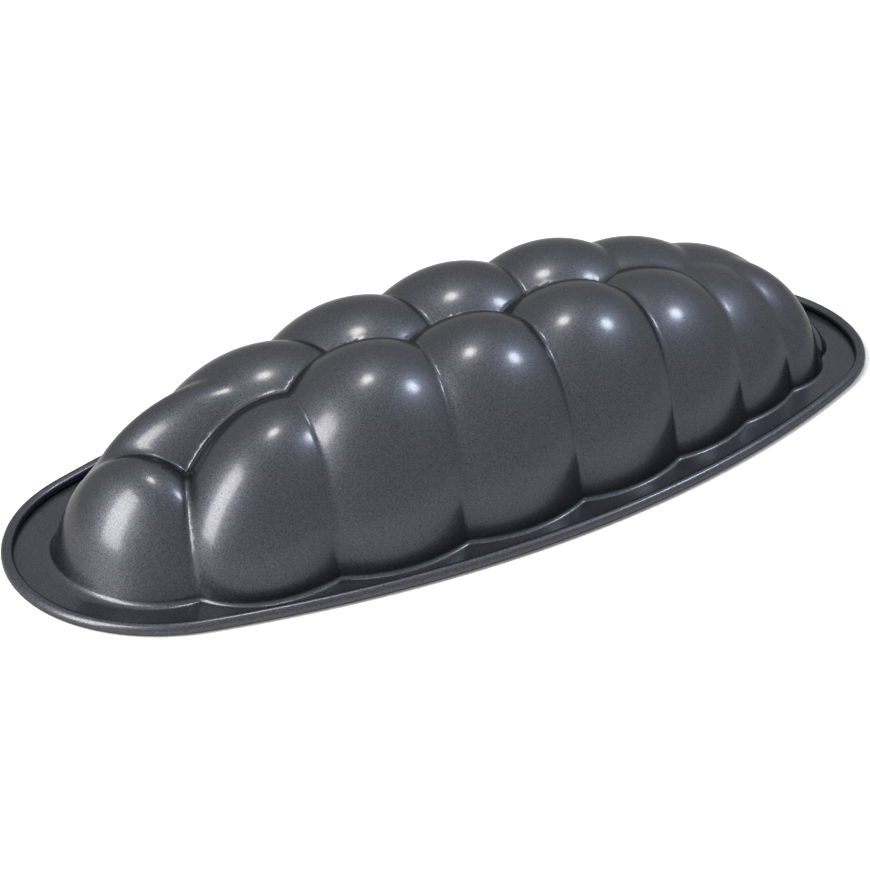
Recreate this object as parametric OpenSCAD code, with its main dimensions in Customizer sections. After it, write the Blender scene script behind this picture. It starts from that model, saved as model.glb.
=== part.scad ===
// Brioche mould for a plaited loaf, lying on its rim with the bulges up.
// One pressed sheet makes the bulges, the flat flange and the curled edge.
// A closed steel wire lies inside the curl and stiffens the rim.
// Millimetres. X runs along the mould to its slim end, Z is up, and the rim lies on z = 0.

/* [Rim] */
// Length of the mould over the curled edge
rim_len = 380; // [340:5:420]
// Width of the mould over the curled edge
rim_w = 163; // [150:1:180]
// Radius of the rim's two end arcs, seen from above
rim_tip_r = 60; // [50:1:70]
// Outside diameter of the curled edge
bead_d = 4.4; // [3.6:0.1:6]
// Diameter of the wire inside the curl
wire_d = 3; // [2:0.1:3]
// Part of a full turn that the curl leaves open, in degrees
curl_gap = 60; // [30:5:90]

/* [Flange] */
// Width of the flange at the full end
flange_near = 14; // [11:0.5:18]
// Width of the flange at the slim end
flange_far = 17; // [12:0.5:24]
// Width of the flange at the middle of each side
flange_side = 15.5; // [11:0.5:20]

/* [Plait] */
// Height of the tallest bulges above the table
plait_h = 62; // [45:1:80]
// Turn of the front bulges, seen from above, in degrees
front_angle = 19; // [0:1:30]
// Turn of the back bulges, seen from above, in degrees
back_angle = 0; // [-20:1:20]
// How softly two bulges run into each other
groove_soft = 1.1; // [0.5:0.1:4]
// Lean of the sheet at the foot of the bulges, in degrees, so that the loaf slips out
draft_angle = 15; // [0:1:25]
// Height at which that lean ends
draft_h = 14; // [8:1:24]
// Radius between the foot of the bulges and the flange
foot_r = 1.8; // [1:0.1:4]
// Width of that foot at the full end, where the press draws the sheet deepest
foot_w_near = 4.8; // [1.8:0.1:8]

/* [Sheet] */
// Thickness of the steel sheet
sheet_t = 0.6; // [0.4:0.05:1]

/* [Hidden] */

// The plait: its ends, and the pitch of its eight bulges a row
plait_x0 = -rim_len / 2 + flange_near;
plait_len = rim_len - flange_near - flange_far;
plait_half_w = rim_w / 2 - flange_side;
bulges_a_row = 8;
pitch = plait_len / bulges_a_row;

// The regular bulges: places from the full end, counted in pitches, and heights as shares of plait_h
front_places = [2.7, 3.7, 4.75, 5.65, 6.35];
front_heights = [1, 1, 1, 0.88, 0.76];
back_places = [3.2, 4.25, 5.25, 6, 6.55];
back_heights = [0.94, 0.97, 0.97, 0.88, 0.76];
bulge_half_len = 1.23 * pitch;
bulge_half_w = 0.66 * plait_half_w;

// The plait is widest here, and its width falls off as a parabola of this half length
widest_x = -4;
taper_len = 0.66 * plait_len;

// Where the two straight runs of rays end, and how fine the surface is
fan_x0 = plait_x0 + 0.9 * pitch;
fan_x1 = plait_x0 + 7 * pitch;
side_steps = 48;
near_fan_steps = 24;
far_fan_steps = 18;
column_count = 2 * side_steps + near_fan_steps + far_fan_steps;
rise_steps = 9;
foot_steps = 2;
curl_steps = 7;
wire_sides = 12;

bead_r = bead_d / 2;
bore_r = bead_r - sheet_t;
wire_r = wire_d / 2;
tip_cx = rim_len / 2 - rim_tip_r;
side_r = (pow(rim_len / 2, 2) - rim_len * rim_tip_r + pow(rim_w / 2, 2)) / (rim_w - 2 * rim_tip_r);
side_cy = side_r - rim_w / 2;
tip_half_angle = atan2(side_cy, tip_cx);
ray_z = sheet_t + foot_r;

function half_width_at(x) = plait_half_w * (1 - pow((x - widest_x) / taper_len, 2));

// A bulge is an upright ellipsoid cut by z = 0:
// [x, y, half length, half width, half height, angle seen from above, depth of its centre, softness of its grooves]
function row_bulge(place, height, side, angle) =
    let (x = plait_x0 + place * pitch)
    [x, side * (half_width_at(x) - bulge_half_w), bulge_half_len, bulge_half_w, height * plait_h,
     angle, 0, groove_soft];

// An end bulge has its own proportions: lengths count in pitches, widths in half widths of the plait, heights in plait_h
function end_bulge(place, side, half_len, half_w, height, angle, depth, soft) =
    [plait_x0 + place * pitch, side * plait_half_w, half_len * pitch, half_w * plait_half_w, height * plait_h,
     angle, depth * plait_h, soft * groove_soft];

first_back = end_bulge(1.75, 0.13, 1.36, 0.4, 0.835, -8, 0, 1);
shoulder = end_bulge(1.45, 0.33, 1.15, 0.47, 0.6, 25, 0, 2.5);
nose = end_bulge(0.75, -0.055, 0.66, 0.54, 0.795, 17, 0.185, 4);
second_back = end_bulge(2.15, 0.19, 1.25, 0.6, 0.9, 0, 0, 1);
second_front = end_bulge(1.83, -0.28, 1.12, 0.52, 0.83, 23, 0, 2);
last_back = end_bulge(6.9, 0.06, 0.75, 0.66, 0.48, 0, 0, 2);
last_front = end_bulge(6.85, -0.07, 0.81, 0.65, 0.75, 35, 0.05, 1);
tail = end_bulge(7.45, 0, 0.56, 0.5, 0.25, 0, 0, 1.5);
bulges = concat(
    [first_back, shoulder, nose, second_back, last_back, tail, second_front, last_front],
    [for (i = [0:len(back_places) - 1]) row_bulge(back_places[i], back_heights[i], 1, back_angle)],
    [for (i = [0:len(front_places) - 1]) row_bulge(front_places[i], front_heights[i], -1, front_angle)]
);

// Distance from o along the unit vector d to the far side of a bulge made smaller by inset.
// Where the ray passes the bulge by, the distance falls off as steeply as it rose, so the skin never jumps.
function far_side(b, o, d, inset) =
    let (
        ct = cos(b[5]), st = sin(b[5]),
        ha = b[2] - inset, hb = b[3] - inset, hc = b[4] - inset,
        ox = (ct * (o.x - b[0]) + st * (o.y - b[1])) / ha,
        oy = (-st * (o.x - b[0]) + ct * (o.y - b[1])) / hb,
        oz = (o.z + b[6]) / hc,
        dx = (ct * d.x + st * d.y) / ha,
        dy = (-st * d.x + ct * d.y) / hb,
        dz = d.z / hc,
        qa = dx * dx + dy * dy + dz * dz,
        qb = ox * dx + oy * dy + oz * dz,
        qc = ox * ox + oy * oy + oz * oz - 1,
        disc = qb * qb - qa * qc
    )
    max(0, (sign(disc) * sqrt(abs(disc)) - qb) / qa);

// The larger of two distances, with a soft step where they are nearly equal
function soft_max(a, b, soft) =
    let (h = max(soft - abs(a - b), 0) / soft)
    max(a, b) + h * h * soft / 4;

function outer_side(o, d, inset, i = 0, best = 0) =
    i == len(bulges)
        ? best
        : outer_side(o, d, inset, i + 1, soft_max(best, far_side(bulges[i], o, d, inset), bulges[i][7]));

// The rays run once round the plait: straight across along both sides, and like a fan round each end.
// A place on this path counts in columns: [place, x of the rays' origin, direction seen from above].
path = [
    [0, fan_x0, -90],
    [side_steps, fan_x1, -90],
    [side_steps + far_fan_steps, fan_x1, 90],
    [2 * side_steps + far_fan_steps, fan_x0, 90],
    [column_count, fan_x0, 270]
];
path_x = [for (mark = path) [mark[0], mark[1]]];
path_turn = [for (mark = path) [mark[0], mark[2]]];

function column(place) =
    let (t = (place + column_count) % column_count)
    [lookup(t, path_x), lookup(t, path_turn)];
columns = [for (i = [0:column_count - 1]) column(i)];

function ray_start(place) = [column(place)[0], 0, ray_z];
function ray_way(place, rise) =
    let (turn = column(place)[1])
    [cos(turn) * cos(rise), sin(turn) * cos(rise), sin(rise)];

// For each ring and column, the distances to the far sides of all bulges, and which bulge is the outermost
reaches = [
    for (j = [0:rise_steps])
        [
            for (i = [0:column_count - 1])
                let (o = ray_start(i), d = ray_way(i, 90 * j / rise_steps))
                [for (b = bulges) far_side(b, o, d, 0)]
        ]
];
outermost = [for (ring = reaches) [for (reach = ring) search(max(reach), reach)[0]]];

// Where a groove crosses the step from one point to a neighbour, as a share of that step: 1 if none does
function groove_share(i, j, di, dj) =
    dj != 0 && (j + dj < 1 || j + dj >= rise_steps || j == 0 || j == rise_steps) ? 1 :
    let (
        k = (i + di + column_count) % column_count,
        here = reaches[j][i], there = reaches[j + dj][k],
        a = outermost[j][i], b = outermost[j + dj][k],
        lead = here[a] - here[b], lag = there[b] - there[a]
    )
    a == b ? 1 : lead / max(lead + lag, 0.000001);

// A point near a groove slides onto it, along its ring or its column, whichever is the shorter way:
// [place on the path, angle of rise, whether it lies on a groove]
ways = [[1, 0], [-1, 0], [0, 1], [0, -1]];
function slid_point(i, j) =
    let (
        shares = [for (w = ways) groove_share(i, j, w[0], w[1])],
        share = min(shares),
        way = ways[search(share, shares)[0]],
        near = share <= 0.5,
        slide = near ? share : 0
    )
    [i + slide * way[0], 90 * (j + slide * way[1]) / rise_steps, near];
net = [for (j = [0:rise_steps]) [for (i = [0:column_count - 1]) slid_point(i, j)]];

// Distance from the point o inside a circle to the circle, along the unit vector d
function to_circle(o, d, centre, r) =
    let (p = o - centre, b = p * d)
    -b + sqrt(b * b - p * p + r * r);

// Rim outline on a column's ray, as [point, outward normal]
function rim_at(c) =
    let (
        o = [c[0], 0], d = [cos(c[1]), sin(c[1])],
        side_c = [0, d.y > 0 ? -side_cy : side_cy],
        ps = o + d * to_circle(o, d, side_c, side_r),
        tip_c = [ps.x > 0 ? tip_cx : -tip_cx, 0],
        from_tip = ps - tip_c,
        on_tip = abs(ps.x) > tip_cx && abs(atan2(from_tip.y, abs(from_tip.x))) < tip_half_angle,
        p = on_tip ? o + d * to_circle(o, d, tip_c, rim_tip_r) : ps,
        centre = on_tip ? tip_c : side_c
    )
    [p, (p - centre) / norm(p - centre)];

// How far the sheet leans outwards at a height: most at the foot, and nothing from draft_h upwards
function lean(z) = tan(draft_angle) * pow(max(draft_h - z, 0), 2) / (2 * draft_h);

function skin_point(p, inset) =
    let (
        o = ray_start(p[0]),
        hit = o + ray_way(p[0], p[1]) * outer_side(o, ray_way(p[0], p[1]), inset)
    )
    hit + ray_way(p[0], 0) * lean(hit.z);

function skin_ring(inset, j) = [for (p = net[j]) skin_point(p, inset)];

// Width of the foot on a column: foot_r, and more round the full end
function foot_w(c) = foot_r + (foot_w_near - foot_r) * pow(max(-cos(c[1]), 0), 2);

// The quarter turn from the upright skin down to the flange
function foot_ring(start, outer_start, depth, turn) = [
    for (i = [0:column_count - 1])
        let (
            c = column(net[0][i][0]), d = [cos(c[1]), sin(c[1])], o = [c[0], 0],
            reach = norm([start[i].x, start[i].y] - o),
            mid = norm([outer_start[i].x, outer_start[i].y] - o) + foot_w(c),
            p = o + d * (mid - (mid - reach) * cos(turn))
        )
        [p.x, p.y, ray_z - (foot_r + depth) * sin(turn)]
];

// A ring of points round the rim, r from the middle of the curl and turned from its lowest point
function curl_ring(r, turn) = [
    for (c = columns)
        let (edge = rim_at(c), p = edge[0] + edge[1] * (r * sin(turn) - bead_r))
        [p.x, p.y, bead_r - r * cos(turn)]
];

// All rings: down the outer skin, along the flange, round the curl to the sheet's free edge, and back
outer_foot = skin_ring(0, 0);
inner_foot = skin_ring(sheet_t, 0);
rings = concat(
    [for (j = [rise_steps - 1:-1:1]) skin_ring(0, j)],
    [outer_foot],
    [for (j = [1:foot_steps]) foot_ring(outer_foot, outer_foot, 0, 90 * j / foot_steps)],
    [for (j = [0:curl_steps]) curl_ring(bore_r, (360 - curl_gap) * j / curl_steps)],
    [for (j = [curl_steps:-1:0]) curl_ring(bead_r, (360 - curl_gap) * j / curl_steps)],
    [for (j = [foot_steps:-1:1]) foot_ring(inner_foot, outer_foot, sheet_t, 90 * j / foot_steps)],
    [inner_foot],
    [for (j = [1:rise_steps - 1]) skin_ring(sheet_t, j)]
);
ring_count = len(rings);

// The ridge closes the skin: both sides share its points, and each fan meets in one of them
function ridge(inset) = [for (i = [0:side_steps]) skin_point(net[rise_steps][i], inset)];
function ridge_index(i) =
    i <= side_steps ? i
    : i <= side_steps + far_fan_steps ? side_steps
    : max(2 * side_steps + far_fan_steps - i, 0);

// Which of the net's rings a ring of points lies on: -1 for the foot, the flange and the curl
function net_ring(j) =
    j < rise_steps ? rise_steps - 1 - j
    : j >= ring_count - rise_steps ? j - (ring_count - rise_steps)
    : -1;
function on_groove(j, i) = j >= 0 && net[j][i][2];

// Two triangles, split along b and d if a groove runs that way
function quad(a, b, c, d, split_bd = false) =
    a == b ? [[a, c, d]]
    : c == d ? [[a, b, c]]
    : split_bd ? [[a, b, d], [b, c, d]]
    : [[a, b, c], [a, c, d]];

module pressed_shell() {
    points = concat(ridge(0), ridge(sheet_t), [for (r = rings) each r]);
    first_ring = 2 * (side_steps + 1);
    last_ring = first_ring + (ring_count - 1) * column_count;
    faces = [
        for (i = [0:column_count - 1])
            let (k = (i + 1) % column_count, ti = ridge_index(i), tk = ridge_index(k))
            each concat(
                quad(ti, tk, first_ring + k, first_ring + i),
                [
                    for (j = [0:ring_count - 2])
                        let (
                            a = first_ring + j * column_count, b = a + column_count,
                            upper = net_ring(j), lower = net_ring(j + 1),
                            along = on_groove(upper, i) && on_groove(lower, k),
                            across = on_groove(upper, k) && on_groove(lower, i)
                        )
                        each quad(a + i, a + k, b + k, b + i, across && !along)
                ],
                quad(last_ring + i, last_ring + k, side_steps + 1 + tk, side_steps + 1 + ti)
            )
    ];
    color("#4d4f55")
        polyhedron(points = points, faces = faces);
}

// The wire is a closed loop along the middle of the curl
module rim_wire() {
    points = [for (j = [0:wire_sides - 1]) each curl_ring(wire_r, 360 * j / wire_sides)];
    faces = [
        for (j = [0:wire_sides - 1], i = [0:column_count - 1])
            let (
                k = (i + 1) % column_count,
                a = j * column_count,
                b = ((j + 1) % wire_sides) * column_count
            )
            each quad(a + i, b + i, b + k, a + k)
    ];
    color("#9a9da1")
        polyhedron(points = points, faces = faces);
}

pressed_shell();
rim_wire();
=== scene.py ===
# %% [markdown]
# A brioche mould for a plaited loaf, lying open side down on a table.
# The real object is one sheet of steel, pressed into two rows of bulges with a flat flange round them,
# and rolled over a steel wire at the edge. A dark non-stick coating with a metallic fleck covers it.
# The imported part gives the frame: this script dresses it, and every length comes from it or is a real size.

import math

import bpy
import numpy as np
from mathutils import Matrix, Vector


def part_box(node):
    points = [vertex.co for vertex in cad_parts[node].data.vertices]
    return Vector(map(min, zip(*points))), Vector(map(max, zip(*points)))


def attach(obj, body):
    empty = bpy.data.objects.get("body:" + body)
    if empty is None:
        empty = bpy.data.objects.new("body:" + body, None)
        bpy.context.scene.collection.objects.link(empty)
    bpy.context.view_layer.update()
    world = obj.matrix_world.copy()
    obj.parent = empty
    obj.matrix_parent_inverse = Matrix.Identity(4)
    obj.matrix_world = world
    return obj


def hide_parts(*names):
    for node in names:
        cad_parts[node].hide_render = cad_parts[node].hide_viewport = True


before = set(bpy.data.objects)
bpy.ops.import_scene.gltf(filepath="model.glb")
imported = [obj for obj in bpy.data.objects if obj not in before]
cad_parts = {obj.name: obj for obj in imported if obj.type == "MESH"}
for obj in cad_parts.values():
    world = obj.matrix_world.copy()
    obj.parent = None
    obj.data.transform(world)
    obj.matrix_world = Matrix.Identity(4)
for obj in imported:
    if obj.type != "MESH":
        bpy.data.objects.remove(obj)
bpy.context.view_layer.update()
MM = 0.001

# %% [markdown]
# The rim is an oval of four arcs: two round tips and two long flat sides.
# Its length and width, and the plait's height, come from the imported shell. The rest are the sizes that
# a press shop would hold: how wide the flange is, how thick the sheet is and how far it is rolled.

# %% Sizes of the pressed sheet, mm
rim_low, rim_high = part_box("pressed_shell")
rim_len = (rim_high.x - rim_low.x) / MM
rim_w = (rim_high.y - rim_low.y) / MM
plait_h = (rim_high.z - rim_low.z) / MM
rim_tip_r = 60
flange_near, flange_far, flange_side = 14, 17, 15.5
sheet_t, foot_r, foot_w_near = 0.6, 1.8, 4.8
draft_angle, draft_h = 15, 14
bead_d, wire_d, curl_gap = 4.4, 3.0, 60

plait_x0 = -rim_len / 2 + flange_near
plait_len = rim_len - flange_near - flange_far
plait_half_w = rim_w / 2 - flange_side
bulges_a_row = 8
pitch = plait_len / bulges_a_row
ray_z = sheet_t + foot_r
print(f"rim {rim_len:.0f} x {rim_w:.0f} mm, plait {plait_len:.0f} mm long, pitch {pitch:.1f} mm")

# %% [markdown]
# Each bulge is close to half an egg: an upright ellipsoid whose lower half is cut off by the table.
# Each row has five regular ones, and they lie at uneven steps, as the strands of a plait do.
# The ends of the strands overlap at both ends of the plait, where every bulge has its own size and turn.
# Places are counted in pitches from the full end, and heights are shares of the plait's height.

# %% Bulges
front_places, front_heights = [2.7, 3.7, 4.75, 5.65, 6.35], [1, 1, 1, 0.88, 0.76]
back_places, back_heights = [3.2, 4.25, 5.25, 6, 6.55], [0.94, 0.97, 0.97, 0.88, 0.76]
front_turn, back_turn = 19, 0
bulge_half_len, bulge_half_w = 1.23 * pitch, 0.66 * plait_half_w
widest_x, taper_len = -4, 0.66 * plait_len
groove_soft = 1.1


def row_bulge(place, height, side, turn):
    """A regular bulge: x, y, half length, half width, height, turn, depth of its centre, groove softness."""
    x = plait_x0 + place * pitch
    half_width = plait_half_w * (1 - ((x - widest_x) / taper_len) ** 2)
    y = side * (half_width - bulge_half_w)
    return x, y, bulge_half_len, bulge_half_w, height * plait_h, turn, 0, groove_soft


def end_bulge(place, side, half_len, half_w, height, turn, depth=0, soft=1):
    """A bulge at an end: lengths in pitches, widths in half widths of the plait, heights in plait heights."""
    return (plait_x0 + place * pitch, side * plait_half_w, half_len * pitch, half_w * plait_half_w,
            height * plait_h, turn, depth * plait_h, soft * groove_soft)


bulges = [
    end_bulge(1.75, 0.13, 1.36, 0.4, 0.835, -8),
    end_bulge(1.45, 0.33, 1.15, 0.47, 0.6, 25, soft=2.5),
    end_bulge(0.75, -0.055, 0.66, 0.54, 0.795, 17, depth=0.185, soft=4),
    end_bulge(2.15, 0.19, 1.25, 0.6, 0.9, 0),
    end_bulge(6.9, 0.06, 0.75, 0.66, 0.48, 0, soft=2),
    end_bulge(7.45, 0, 0.56, 0.5, 0.25, 0, soft=1.5),
    end_bulge(1.83, -0.28, 1.12, 0.52, 0.83, 23, soft=2),
    end_bulge(6.85, -0.07, 0.81, 0.65, 0.75, 35, depth=0.05),
]
for places, heights, side, turn in ((back_places, back_heights, 1, back_turn),
                                    (front_places, front_heights, -1, front_turn)):
    bulges += [row_bulge(place, height, side, turn) for place, height in zip(places, heights)]
print(len(bulges), "bulges, the tallest", round(max(b[4] - b[6] for b in bulges), 1), "mm")

# %% [markdown]
# The sheet is one skin over all the bulges. To find it, rays leave the plait's long axis and stop at the
# outermost bulge. Where two bulges meet, the press leaves a small radius, so the two distances are blended.
# The deep grooves of the full end have a softer curve than those between the regular bulges.


# %% Distance to the skin
def far_sides(origin, way, inset):
    """For each bulge, shrunk by inset, the distance from origin along way to its far side.

    Where a ray passes a bulge by, the distance falls off as steeply as it rose, so that the skin never jumps.
    """
    found = []
    for x, y, half_len, half_w, height, turn, depth, _ in bulges:
        c, s = math.cos(math.radians(turn)), math.sin(math.radians(turn))
        size = np.array([half_len, half_w, height]) - inset
        spin = np.array([[c, s, 0], [-s, c, 0], [0, 0, 1]]) / size[:, None]
        o = (origin - np.array([x, y, -depth])) @ spin.T
        d = way @ spin.T
        a, b, k = (d * d).sum(-1), (o * d).sum(-1), (o * o).sum(-1) - 1
        disc = b * b - a * k
        found.append(np.maximum((np.sign(disc) * np.sqrt(np.abs(disc)) - b) / a, 0))
    return np.array(found)


def blended(distances):
    """The largest distance, with a soft step where two are nearly equal."""
    best = distances[0] * 0
    for reach, bulge in zip(distances, bulges):
        soft = bulge[7]
        h = np.maximum(soft - np.abs(best - reach), 0) / soft
        best = np.maximum(best, reach) + h * h * soft / 4
    return best


# %% [markdown]
# The rays run once round the plait: straight across along both sides, and like a fan round each end.
# A position along this path is one number, so that a column of the mesh can slide along it.

# %% Columns of the mesh
side_steps, fan_steps, rise_steps = 318, 132, 62
fan_x0, fan_x1 = plait_x0 + 0.9 * pitch, plait_x0 + 7 * pitch
column_count = 2 * (side_steps + fan_steps)
path_marks = np.cumsum([0, side_steps, fan_steps, side_steps, fan_steps])


def rays(path, rise):
    """Origins and unit directions of the rays at a place on the path and an angle of rise in degrees."""
    path = np.mod(path, column_count)
    x = np.interp(path, path_marks, [fan_x0, fan_x1, fan_x1, fan_x0, fan_x0])
    turn = np.radians(np.interp(path, path_marks, [-90, -90, 90, 90, 270]))
    lift = np.radians(rise)
    origin = np.stack([x, x * 0, x * 0 + ray_z], -1)
    way = np.stack([np.cos(turn) * np.cos(lift), np.sin(turn) * np.cos(lift), np.sin(lift) + 0 * x], -1)
    return origin, way


path0, rise0 = np.meshgrid(np.arange(column_count, dtype=float),
                           np.linspace(0, 90, rise_steps + 1))
print(column_count, "columns by", rise_steps + 1, "rings")

# %% [markdown]
# A groove between two bulges is a sharp feature, and a mesh that steps across it shows teeth.
# So each point within half a step of a groove slides onto it, along its own ring or its own column,
# whichever is the shorter way.


# %% Slide points onto the grooves
reach_of_slide = 0.5


def lead(distances, first, second):
    """How much farther out one bulge lies than another, for each point."""
    return (np.take_along_axis(distances, first[None], 0) - np.take_along_axis(distances, second[None], 0))[0]


def onto_grooves(path, rise):
    """Moves the points next to a groove onto it. Returns the new places and which points moved."""
    distances = far_sides(*rays(path, rise), 0)
    owner = distances.argmax(0)
    best = np.full(path.shape, reach_of_slide)
    moved_path, moved_rise, moved = path.copy(), rise.copy(), np.zeros(path.shape, bool)
    rise_step = 90 / rise_steps
    for axis, step in ((1, 1), (1, -1), (0, 1), (0, -1)):
        next_owner = np.roll(owner, -step, axis)
        here = lead(distances, owner, next_owner)
        there = lead(np.roll(distances, -step, axis + 1), next_owner, owner)
        share = np.where(owner != next_owner, here / np.maximum(here + there, 1e-9), 1)
        if axis == 0:
            share[[0, -1]] = 1
            share[1 if step < 0 else -2] = 1
        take = share <= best
        best = np.where(take, share, best)
        moved_path = np.where(take, path + (step * share if axis == 1 else 0), moved_path)
        moved_rise = np.where(take, rise + (step * share * rise_step if axis == 0 else 0), moved_rise)
        moved |= take
    return moved_path, moved_rise, moved


path, rise, on_groove = onto_grooves(path0, rise0)
print(int(on_groove.sum()), "points lie on grooves")

# %% [markdown]
# The outline of the rim is found on the same rays, so that flange and curl join the plait without a seam.


# %% Rim outline
tip_cx = rim_len / 2 - rim_tip_r
side_r = ((rim_len / 2) ** 2 - rim_len * rim_tip_r + (rim_w / 2) ** 2) / (rim_w - 2 * rim_tip_r)
side_cy = side_r - rim_w / 2
bead_r = bead_d / 2


def to_circle(o, d, centre, r):
    """The distance from o, inside a circle, along d to the circle."""
    p = o - centre
    b = (p * d).sum(-1)
    return -b + np.sqrt(b * b - (p * p).sum(-1) + r * r)


def rim_at(path):
    """Points of the rim's outline on the rays, and its outward normals, seen from above."""
    origin, way = rays(path, 0)
    o, d = origin[:, :2], way[:, :2]
    side_c = np.stack([0 * o[:, 0], np.where(d[:, 1] > 0, -side_cy, side_cy)], -1)
    on_side = o + d * to_circle(o, d, side_c, side_r)[:, None]
    tip_c = np.stack([np.where(on_side[:, 0] > 0, tip_cx, -tip_cx), 0 * o[:, 0]], -1)
    away = on_side - tip_c
    steep = np.abs(np.arctan2(away[:, 1], np.abs(away[:, 0]))) < math.atan2(side_cy, tip_cx)
    at_tip = (steep & (np.abs(on_side[:, 0]) > tip_cx))[:, None]
    point = np.where(at_tip, o + d * to_circle(o, d, tip_c, rim_tip_r)[:, None], on_side)
    centre = np.where(at_tip, tip_c, side_c)
    normal = (point - centre) / np.linalg.norm(point - centre, axis=1)[:, None]
    return point, normal


def curl_ring(path, r, turn):
    """A ring of points round the rim, r from the middle of the curl, turned from its lowest point."""
    point, normal = rim_at(path)
    flat = point + normal * (r * math.sin(math.radians(turn)) - bead_r)
    return np.column_stack([flat, np.full(len(flat), bead_r - r * math.cos(math.radians(turn)))])


# %% [markdown]
# The walls lean out a little towards the foot, so that the loaf slips out of the mould.
# The foot of each bulge runs into the flange through a quarter turn, with the press radius on the outside
# and the same radius plus the sheet's thickness on the inside. Round the full end the turn is wider.


# %% Foot of the plait
def lean(z):
    """How far the sheet leans outwards at a height: most at the foot, and nothing from draft_h upwards."""
    return math.tan(math.radians(draft_angle)) * np.maximum(draft_h - z, 0) ** 2 / (2 * draft_h)


def skin(path, rise, inset):
    """Points of the skin's outside, or of its inside where inset is the sheet's thickness."""
    origin, way = rays(path, rise)
    hit = origin + way * blended(far_sides(origin, way, inset))[..., None]
    return hit + rays(path, 0)[1] * lean(hit[..., 2:])


def foot_ring(path, inset, turn):
    """The quarter turn from the upright skin down to the flange."""
    origin, way = rays(path, 0)
    foot_w = foot_r + (foot_w_near - foot_r) * np.maximum(-way[:, 0], 0) ** 2
    outer = blended(far_sides(origin, way, 0)) + lean(ray_z) + foot_w
    reach = blended(far_sides(origin, way, inset)) + lean(ray_z)
    bend = math.radians(turn)
    ring = origin + way * (outer - (outer - reach) * math.cos(bend))[:, None]
    ring[:, 2] = ray_z - (foot_r + inset) * math.sin(bend)
    return ring


# %% [markdown]
# Now the skin is drawn as one closed mesh with its real thickness, ring by ring: from the ridge down
# the outside, along the flange, round the curl to the sheet's free edge, back round the outside of the curl,
# and up the inside. The inside takes every second column, because nothing there needs the finer ones.


# %% Closed mesh of the pressed sheet
def join_rings(faces, upper, lower):
    """Adds the band of faces between two rings with as many points."""
    n = len(upper)
    faces += [(upper[i], lower[i], lower[(i + 1) % n], upper[(i + 1) % n]) for i in range(n)]


verts, faces = [], []


def add(points):
    """Adds points to the mesh. Returns their indices."""
    start = sum(len(v) for v in verts)
    verts.append(np.asarray(points, float))
    return list(range(start, start + len(points)))


def grow_skin(path, rise, on_groove, inset, outward):
    """Adds the skin's points and faces. Returns the indices of its lowest ring."""
    rings, columns = path.shape
    half = columns // 2
    sides = side_steps * columns // column_count
    index = [add(skin(path[i], rise[i], inset)) for i in range(rings - 1)]
    top = add(skin(path[-1, :sides + 1], rise[-1, :sides + 1], inset))
    index.append([top[min(j, sides) if j <= half else max(sides - (j - half), 0)] for j in range(columns)])
    for i in range(rings - 1):
        for j in range(columns):
            k = (j + 1) % columns
            a, b, c, d = index[i][j], index[i][k], index[i + 1][k], index[i + 1][j]
            if c == d:
                faces.append((a, b, c) if outward else (c, b, a))
                continue
            along_ac = on_groove[i, j] and on_groove[i + 1, k]
            along_bd = on_groove[i, k] and on_groove[i + 1, j]
            if along_bd and not along_ac:
                parts = [(a, b, d), (b, c, d)]
            elif along_ac and not along_bd:
                parts = [(a, b, c), (a, c, d)]
            else:
                parts = [(a, b, c, d)]
            faces.extend(parts if outward else [p[::-1] for p in parts])
    return index[0]


foot_path = path[0]
even_path = path0[0]
outer_foot = grow_skin(path, rise, on_groove, 0, True)
foot_turns, curl_turns = 4, 12
open_turn = 360 - curl_gap
chain = [outer_foot]
chain += [add(foot_ring(foot_path, 0, 90 * j / foot_turns)) for j in range(1, foot_turns + 1)]
for r, turns in ((bead_r - sheet_t, range(curl_turns + 1)), (bead_r, range(curl_turns, -1, -1))):
    chain += [add(curl_ring(even_path, r, open_turn * j / curl_turns)) for j in turns]
for upper, lower in zip(chain, chain[1:]):
    join_rings(faces, upper, lower)

inner_path, inner_rise = path0[::2, ::2], rise0[::2, ::2]
no_groove = np.zeros(inner_path.shape, bool)
inner_foot = grow_skin(inner_path, inner_rise, no_groove, sheet_t, False)
inner_chain = [add(foot_ring(inner_path[0], sheet_t, 90 * j / foot_turns))
               for j in range(foot_turns, 0, -1)]
inner_chain.append(inner_foot)
for upper, lower in zip(inner_chain, inner_chain[1:]):
    join_rings(faces, upper, lower)
# Two points of the outside meet one of the inside, where the curl joins the underside of the flange.
fine, coarse = chain[-1], inner_chain[0]
for i in range(len(coarse)):
    k = (i + 1) % len(coarse)
    a, b, c = fine[2 * i], fine[2 * i + 1], fine[(2 * i + 2) % len(fine)]
    faces += [(a, coarse[i], b), (b, coarse[i], coarse[k]), (b, coarse[k], c)]


def make_piece(name, points, polygons, node):
    """A smooth mesh piece, in metres, that stands for a CAD node and moves with the part."""
    mesh = bpy.data.meshes.new(name)
    mesh.from_pydata((points * MM).tolist(), [], polygons)
    mesh.validate()
    mesh.polygons.foreach_set("use_smooth", np.ones(len(mesh.polygons), bool))
    piece = bpy.data.objects.new(name, mesh)
    bpy.context.scene.collection.objects.link(piece)
    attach(piece, "root")
    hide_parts(node)
    return piece


pressed_sheet = make_piece("pressed_sheet", np.concatenate(verts), faces, "pressed_shell")
triangles = sum(len(p.vertices) - 2 for p in pressed_sheet.data.polygons)
print("pressed sheet:", len(pressed_sheet.data.vertices), "points,", triangles, "triangles")

# %% [markdown]
# The wire is a closed loop of drawn steel that lies in the curl and keeps the rim from bending.
# It is a round tube mesh along the middle of the curl.

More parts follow.
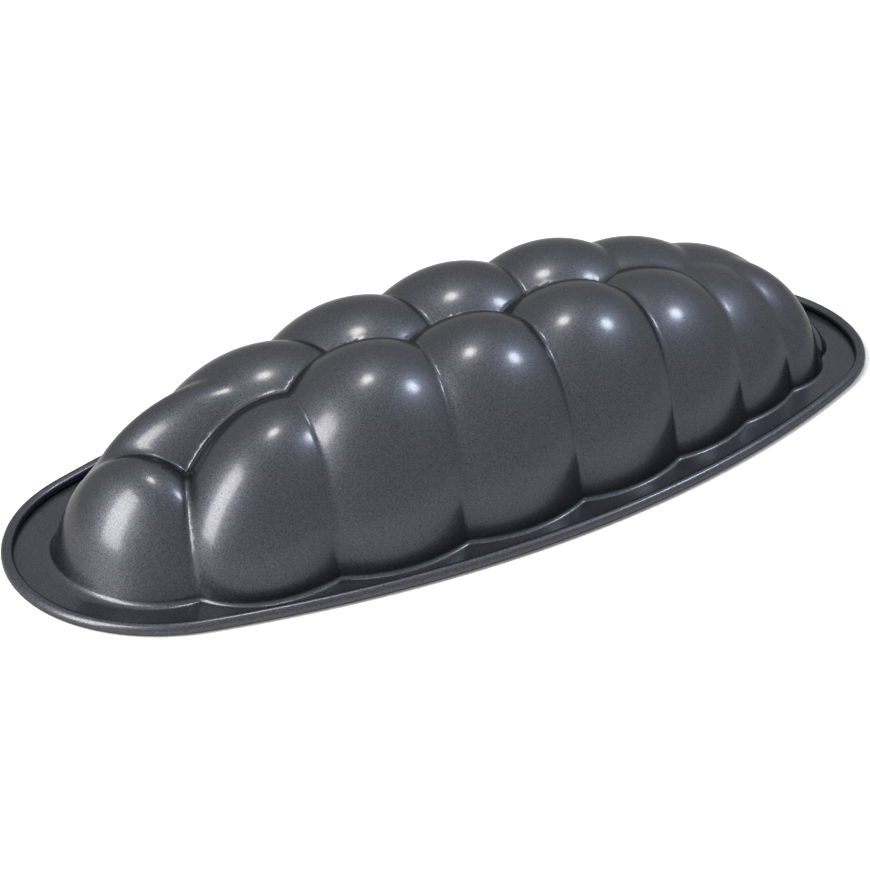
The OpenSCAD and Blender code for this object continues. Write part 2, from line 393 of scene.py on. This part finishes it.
# %% Rim wire
wire_sides = 16
wire_path = path0[0][::2]
wire_rings = [curl_ring(wire_path, wire_d / 2, 360 * j / wire_sides) for j in range(wire_sides)]
n = len(wire_path)
wire_faces = []
for j in range(wire_sides):
    here, above = j * n, (j + 1) % wire_sides * n
    wire_faces += [(here + i, here + (i + 1) % n, above + (i + 1) % n, above + i) for i in range(n)]
rim_wire = make_piece("drawn_wire", np.concatenate(wire_rings), wire_faces, "rim_wire")

# %% [markdown]
# Colours are written as sRGB hex values, as a colour picker gives them. One function turns them to linear,
# and one adds a shader node with its settings and links.


# %% Colour and node helpers
def linear(hex_colour):
    parts = [int(hex_colour[i:i + 2], 16) / 255 for i in (1, 3, 5)]
    return tuple(c / 12.92 if c <= 0.04045 else ((c + 0.055) / 1.055) ** 2.4 for c in parts) + (1,)


def node(tree, kind, settings=None, **inputs):
    """Adds a node. An input is named, or numbered as i0, and takes another node's socket or a value."""
    made = tree.nodes.new(kind)
    for key, value in (settings or {}).items():
        setattr(made, key, value)
    for key, value in inputs.items():
        numbered = key[0] == "i" and key[1:].isdigit()
        socket = made.inputs[int(key[1:]) if numbered else key.replace("_", " ")]
        if isinstance(value, bpy.types.NodeSocket):
            tree.links.new(value, socket)
        else:
            socket.default_value = value
    return made


def empty_material(name):
    material = bpy.data.materials.new(name)
    material.use_nodes = True
    material.node_tree.nodes.clear()
    return material, material.node_tree


# %% [markdown]
# The coating is sprayed on with mica flakes in it and baked. It is dark, blue-grey and satin:
# the flakes give a wide metallic sheen, and the clear binder over them a thin, tighter gloss.
# The fleck of the real spray is near 0.2 mm, which is under a pixel, so it is drawn at 0.5 mm.

# %% Non-stick coating
fleck_size, mottle_size = 0.5 * MM, 14 * MM
coating, tree = empty_material("non_stick_coating")
place = node(tree, "ShaderNodeTexCoord")
fleck = node(tree, "ShaderNodeTexNoise", Vector=place.outputs["Object"], Scale=1 / fleck_size, Detail=2,
             Roughness=0.6)
mottle = node(tree, "ShaderNodeTexNoise", Vector=place.outputs["Object"], Scale=1 / mottle_size, Detail=2)
fleck_tone = node(tree, "ShaderNodeValToRGB", Fac=fleck.outputs["Fac"])
for stop, position, colour in zip(fleck_tone.color_ramp.elements, (0.3, 0.72), ("#282a2f", "#4b4d55")):
    stop.position, stop.color = position, linear(colour)
rough = node(tree, "ShaderNodeMapRange", i0=mottle.outputs["Fac"], i1=0.3, i2=0.7, i3=0.4, i4=0.45)
grain = node(tree, "ShaderNodeBump", Strength=0.25, Distance=0.03 * MM, Height=fleck.outputs["Fac"])
skin_shader = node(tree, "ShaderNodeBsdfPrincipled", Base_Color=fleck_tone.outputs["Color"], Metallic=0.92,
                   Roughness=rough.outputs["Result"], Normal=grain.outputs["Normal"],
                   Specular_IOR_Level=0.2, Specular_Tint=linear("#6a6d74"),
                   Coat_Weight=0.33, Coat_Roughness=0.18, Coat_IOR=1.6)
node(tree, "ShaderNodeOutputMaterial", Surface=skin_shader.outputs["BSDF"])
pressed_sheet.data.materials.append(coating)

# %% [markdown]
# The wire is plain drawn steel: bright, with fine marks on it from the die.

# %% Drawn steel
die_mark_size = 0.8 * MM
steel, tree = empty_material("drawn_steel")
place = node(tree, "ShaderNodeTexCoord")
die_marks = node(tree, "ShaderNodeTexNoise", Vector=place.outputs["Object"], Scale=1 / die_mark_size,
                 Detail=3)
steel_rough = node(tree, "ShaderNodeMapRange", i0=die_marks.outputs["Fac"],
                   i1=0.3, i2=0.7, i3=0.28, i4=0.42)
steel_bump = node(tree, "ShaderNodeBump", Strength=0.2, Distance=0.02 * MM,
                  Height=die_marks.outputs["Fac"])
steel_shader = node(tree, "ShaderNodeBsdfPrincipled", Base_Color=linear("#b9bbbe"), Metallic=1.0,
                    Roughness=steel_rough.outputs["Result"], Normal=steel_bump.outputs["Normal"])
node(tree, "ShaderNodeOutputMaterial", Surface=steel_shader.outputs["BSDF"])
rim_wire.data.materials.append(steel)

# %% [markdown]
# The table is a round white card, no wider than the lamps light it white, so that it has no grey edge.
# To the camera, and in the mould's gloss, it is as white as the backdrop. The soft shadow at the rim stays.

# %% Table
table_radius, table_gap, table_lift = 0.72, 0.05 * MM, 0.15


def seen_as_backdrop(tree):
    """1 for rays of the camera, of gloss and of clear glass, and 0 for those that carry light."""
    ray = node(tree, "ShaderNodeLightPath")
    either = node(tree, "ShaderNodeMath", {"operation": "MAXIMUM"},
                  i0=ray.outputs["Is Camera Ray"], i1=ray.outputs["Is Glossy Ray"])
    return node(tree, "ShaderNodeMath", {"operation": "MAXIMUM"},
                i0=either.outputs[0], i1=ray.outputs["Is Transmission Ray"]).outputs[0]


bpy.ops.mesh.primitive_circle_add(vertices=128, radius=table_radius, fill_type="NGON",
                                  location=(0, 0, -table_gap))
table = bpy.context.object
table.name = "table"
card, tree = empty_material("white_card")
lift = node(tree, "ShaderNodeMath", {"operation": "MULTIPLY"}, i0=seen_as_backdrop(tree), i1=table_lift)
card_diffuse = node(tree, "ShaderNodeBsdfDiffuse", Color=linear("#f2f2f2"))
card_lift = node(tree, "ShaderNodeEmission", Color=linear("#ffffff"), Strength=lift.outputs[0])
card_sum = node(tree, "ShaderNodeAddShader", i0=card_diffuse.outputs[0], i1=card_lift.outputs[0])
node(tree, "ShaderNodeOutputMaterial", Surface=card_sum.outputs[0])
table.data.materials.append(card)

# %% [markdown]
# The backdrop is the world: white where it is seen or mirrored, and a dim fill for the light it gives.

# %% Backdrop
fill_level, seen_level = 0.1, 1.0
world = bpy.data.worlds.new("studio")
bpy.context.scene.world = world
world.use_nodes = True
tree = world.node_tree
tree.nodes.clear()
level = node(tree, "ShaderNodeMapRange", i0=seen_as_backdrop(tree), i3=fill_level, i4=seen_level)
backdrop = node(tree, "ShaderNodeBackground", Color=linear("#ffffff"), Strength=level.outputs["Result"])
node(tree, "ShaderNodeOutputWorld", Surface=backdrop.outputs[0])

# %% [markdown]
# Two small lamps each leave one round pale spot on every bulge, and a tall soft box on the left
# leaves a wide vertical band beside each groove. A spot mirrors its lamp, so the direction of each lamp
# follows from where its spots lie.


# %% Lamps
lamp_distance = 1.3


def soft_lamp(name, azimuth, elevation, shape, width, height, power, colour):
    """An area lamp that faces the mould from a direction given in degrees."""
    a, e = math.radians(azimuth), math.radians(elevation)
    spot = Vector((math.cos(a) * math.cos(e), math.sin(a) * math.cos(e), math.sin(e))) * lamp_distance
    data = bpy.data.lights.new(name, "AREA")
    data.shape, data.size, data.size_y = shape, width, height
    data.energy, data.color = power, linear(colour)[:3]
    lamp = bpy.data.objects.new(name, data)
    lamp.location = spot
    lamp.rotation_euler = (-spot).to_track_quat("-Z", "Y").to_euler()
    bpy.context.scene.collection.objects.link(lamp)


soft_lamp("lamp_right", -12.6, 47, "ELLIPSE", 0.22, 0.22, 6, "#e4efff")
soft_lamp("lamp_top", 46.7, 77, "ELLIPSE", 0.22, 0.22, 5.4, "#fffaf4")
soft_lamp("soft_box_left", 179, 35, "RECTANGLE", 0.52, 1.3, 34, "#fffaf5")

# %% [markdown]
# The camera looks down on the full end from the front left, with a lens of about 80 mm on a 36 mm sensor.

# %% Camera
camera_place, camera_turn = Vector((-388.0, -521.8, 364.6)) * MM, (60.74, 0, -35.40)
lens_data = bpy.data.cameras.new("camera")
lens_data.lens, lens_data.sensor_width = 79.68, 36
camera = bpy.data.objects.new("camera", lens_data)
camera.location = camera_place
camera.rotation_euler = [math.radians(angle) for angle in camera_turn]
bpy.context.scene.collection.objects.link(camera)
bpy.context.scene.camera = camera
bpy.context.scene.view_settings.view_transform = "Standard"
